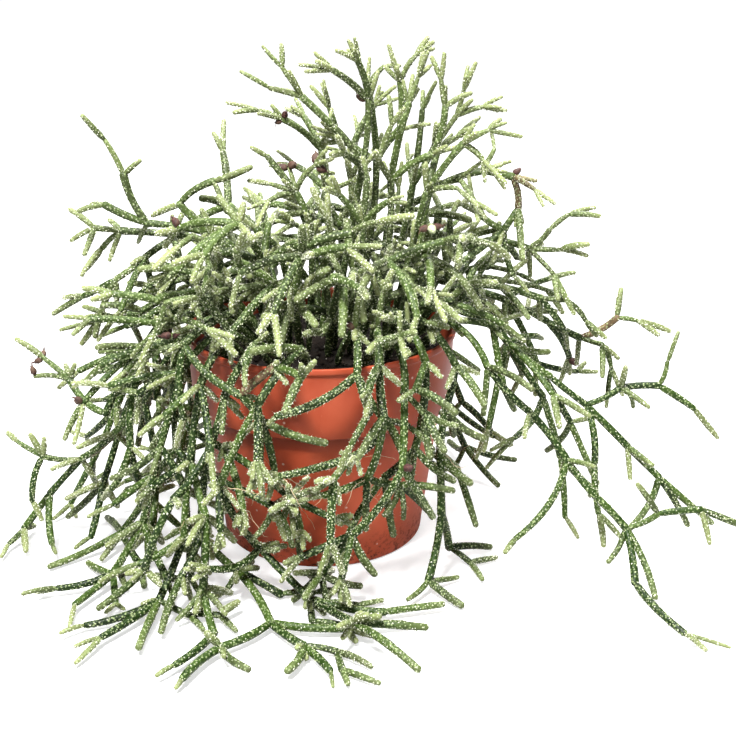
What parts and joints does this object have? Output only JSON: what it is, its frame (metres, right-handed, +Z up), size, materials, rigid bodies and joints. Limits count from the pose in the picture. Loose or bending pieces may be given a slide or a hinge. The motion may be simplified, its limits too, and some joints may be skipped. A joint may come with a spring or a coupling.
{
  "type": "potted rhipsalis",
  "caption": "Bushy trailing cactus with thin jointed stems, rooted in dark soil in a small terracotta-coloured plastic pot, its ends arching over the rim and lying around it.",
  "frame": {"origin": "middle of the pot's underside, on the surface that it stands on", "axes": "+Z up, +Y to the back, +X to the right, the way the longest trailing stems reach"},
  "size_m": [0.3262, 0.2634, 0.2216],
  "materials": {
    "pot_plastic": "satin terracotta-coloured moulded plastic",
    "peat_soil": "damp peat mix, rough",
    "stem_skin": "waxy green stem with small pale areoles and soft bristles"
  },
  "bodies": {
    "root": {"pot": "pot_plastic", "soil": "peat_soil", "stem_back_01": "stem_skin", "stem_back_02": "stem_skin", "stem_back_03": "stem_skin", "stem_back_04": "stem_skin", "stem_back_05": "stem_skin", "stem_back_06": "stem_skin", "stem_crown_01": "stem_skin", "stem_crown_02": "stem_skin", "stem_crown_03": "stem_skin", "stem_crown_04": "stem_skin", "stem_crown_05": "stem_skin", "stem_crown_06": "stem_skin", "stem_crown_07": "stem_skin", "stem_crown_08": "stem_skin", "stem_crown_09": "stem_skin", "stem_crown_10": "stem_skin", "stem_crown_11": "stem_skin", "stem_crown_12": "stem_skin", "stem_crown_13": "stem_skin", "stem_crown_14": "stem_skin", "stem_crown_15": "stem_skin", "stem_front_01": "stem_skin", "stem_front_02": "stem_skin", "stem_front_03": "stem_skin", "stem_front_04": "stem_skin", "stem_front_05": "stem_skin", "stem_front_06": "stem_skin", "stem_front_07": "stem_skin", "stem_front_08": "stem_skin", "stem_front_09": "stem_skin", "stem_left_01": "stem_skin", "stem_left_02": "stem_skin", "stem_left_03": "stem_skin", "stem_left_04": "stem_skin", "stem_left_05": "stem_skin", "stem_left_06": "stem_skin", "stem_left_07": "stem_skin", "stem_left_08": "stem_skin", "stem_left_09": "stem_skin", "stem_left_10": "stem_skin", "stem_right_01": "stem_skin", "stem_right_02": "stem_skin", "stem_right_03": "stem_skin", "stem_right_04": "stem_skin", "stem_right_05": "stem_skin", "stem_right_06": "stem_skin", "stem_right_07": "stem_skin", "stem_top_01": "stem_skin", "stem_top_02": "stem_skin", "stem_top_03": "stem_skin", "stem_top_04": "stem_skin", "stem_top_05": "stem_skin", "stem_top_06": "stem_skin", "stem_top_07": "stem_skin", "stem_top_08": "stem_skin", "stem_top_09": "stem_skin", "stem_top_10": "stem_skin"}
  },
  "joints": []
}
